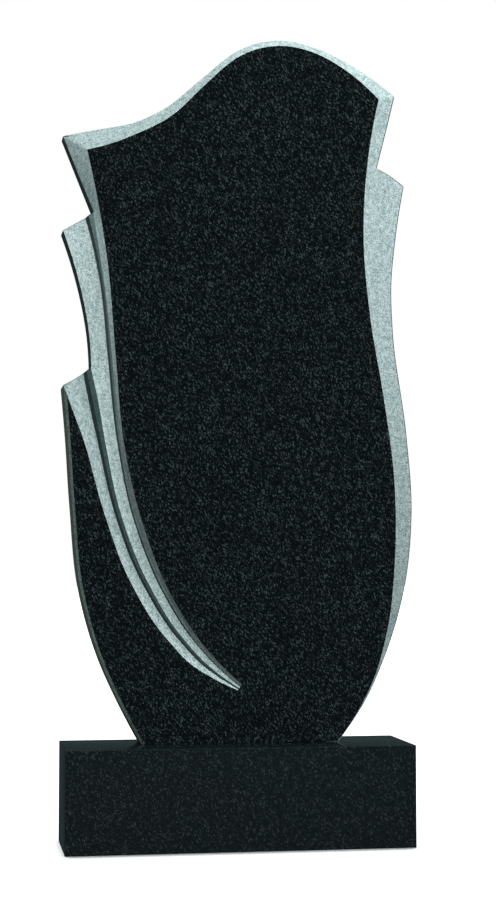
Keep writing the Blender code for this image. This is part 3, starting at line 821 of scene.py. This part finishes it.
plinth_piece = plinth()
for kind in range(len(PLINTH_FINISHES)):
    plinth_piece.data.materials.append(PLINTH_FINISHES[kind])
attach(plinth_piece, "root")
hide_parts("plinth")

# The floor reaches this far to each side, in metres
FLOOR_REACH = 30.0

# The dome over the stone is dark up to about 15 degrees above the horizon and bright from about 49, as
# heights on a ball of radius 1
DOME_DARK_BELOW = 0.25
DOME_BRIGHT_ABOVE = 0.75

# Lamps: where each stands, what it faces, how strong it is, and how soft, as the angle of a distant lamp or
# the size of a near one in metres. The first four light the stone, and the last the floor
ORIGIN = (0.0, 0.0, 0.0)
KEY = ("key", "SUN", (-0.04, -0.83, 0.55), ORIGIN, 2.45, {"angle": math.radians(12.0)})
UPPER_RIGHT = ("top_right", "AREA", (1.0, -0.6, 1.75), (0.1, 0.0, 1.0), 6.5, {"size": 0.4})
FILL = ("fill", "SUN", (-0.85, -0.38, -0.35), ORIGIN, 0.78, {"angle": math.radians(30.0)})
BEHIND = ("behind", "SUN", (0.25, 0.85, 0.45), ORIGIN, 1.2, {"angle": math.radians(30.0)})
OVER_FLOOR = ("over_floor", "SUN", (0.02, 0.13, 1.0), ORIGIN, 3.9, {"angle": math.radians(14.0)})

# Camera: focal length and film width in millimetres, place in metres, and tip and turn in degrees
LENS = 71.56
FILM_WIDTH = 36.0
CAMERA_PLACE = (-0.404, -2.586, 0.403)
CAMERA_TIP = 93.61
CAMERA_TURN = -9.28


def floor():
    """A pale, matt floor under the plinth, which neither lights the stone nor shows in its polish."""
    corners = np.array([(-1, -1, 0), (1, -1, 0), (1, 1, 0), (-1, 1, 0)], float) * FLOOR_REACH
    mesh = bpy.data.meshes.new("floor")
    mesh.from_pydata(corners.tolist(), [], [(0, 1, 2, 3)])
    made = bpy.data.objects.new("floor", mesh)
    bpy.context.scene.collection.objects.link(made)
    matt, _, _ = new_material("pale_matt_floor", {"Base Color": linear("#F4F4F4"), "Roughness": 1.0,
                                                  "Specular IOR Level": 0.0})
    mesh.materials.append(matt)
    made.visible_glossy = False
    made.visible_diffuse = False
    return made


def world():
    """A white backdrop; the light on the stone comes from a soft dome that darkens toward the horizon."""
    made = bpy.data.worlds.new("studio")
    made.use_nodes = True
    tree = made.node_tree
    tree.nodes.clear()
    way = add(tree, "ShaderNodeTexCoord")
    height = add(tree, "ShaderNodeSeparateXYZ", {"Vector": way.outputs["Object"]})
    rise = add(tree, "ShaderNodeMapRange", {"Value": height.outputs["Z"], "From Min": DOME_DARK_BELOW,
                                            "From Max": DOME_BRIGHT_ABOVE}, interpolation_type="SMOOTHSTEP")
    dome = add(tree, "ShaderNodeMix", {MIX_SHARE: rise, MIX_FIRST: linear("#323F40"),
                                       MIX_SECOND: linear("#D6DEDE")}, data_type="RGBA")
    light = add(tree, "ShaderNodeBackground", {"Color": dome.outputs[MIX_RESULT], "Strength": 1.0})
    backdrop = add(tree, "ShaderNodeBackground", {"Color": linear("#FFFFFF"), "Strength": 1.0})
    path = add(tree, "ShaderNodeLightPath")
    both = add(tree, "ShaderNodeMixShader", {0: path.outputs["Is Camera Ray"], 1: light, 2: backdrop})
    add(tree, "ShaderNodeOutputWorld", {"Surface": both})
    bpy.context.scene.world = made


def lamp(name, kind, place, aim, energy, settings):
    """A lamp at a place, turned to face another."""
    data = bpy.data.lights.new(name, kind)
    data.energy = energy
    for key, value in settings.items():
        setattr(data, key, value)
    made = bpy.data.objects.new(name, data)
    bpy.context.scene.collection.objects.link(made)
    away = np.array(place) - np.array(aim)
    made.location = place
    tip = math.atan2(math.hypot(away[0], away[1]), away[2])
    made.rotation_euler = (tip, 0.0, math.atan2(away[0], -away[1]))
    return made


def lights(floor_piece):
    """Four lamps on the stone alone, and one on the floor alone, in which only the plinth throws a shadow."""
    stone = bpy.data.collections.new("lit_stone")
    ground = bpy.data.collections.new("lit_floor")
    block = bpy.data.collections.new("block_over_floor")
    for piece in (stele_piece, plinth_piece):
        stone.objects.link(piece)
    block.objects.link(plinth_piece)
    ground.objects.link(floor_piece)
    for settings in (KEY, UPPER_RIGHT, FILL, BEHIND):
        on_stone = lamp(*settings)
        on_stone.light_linking.receiver_collection = stone
        on_stone.light_linking.blocker_collection = stone
        on_stone.visible_glossy = False
    on_floor = lamp(*OVER_FLOOR)
    on_floor.light_linking.receiver_collection = ground
    on_floor.light_linking.blocker_collection = block


def camera():
    """The photograph's view: low and a little to the left of the stone, looking slightly up."""
    data = bpy.data.cameras.new("camera")
    data.lens = LENS
    data.sensor_width = FILM_WIDTH
    made = bpy.data.objects.new("camera", data)
    bpy.context.scene.collection.objects.link(made)
    made.location = CAMERA_PLACE
    made.rotation_euler = (math.radians(CAMERA_TIP), 0.0, math.radians(CAMERA_TURN))
    bpy.context.scene.camera = made


stage_floor = floor()
world()
lights(stage_floor)
camera()

# Plain studio colours, as they are given above, with no film curve over them
bpy.context.scene.view_settings.view_transform = "Standard"
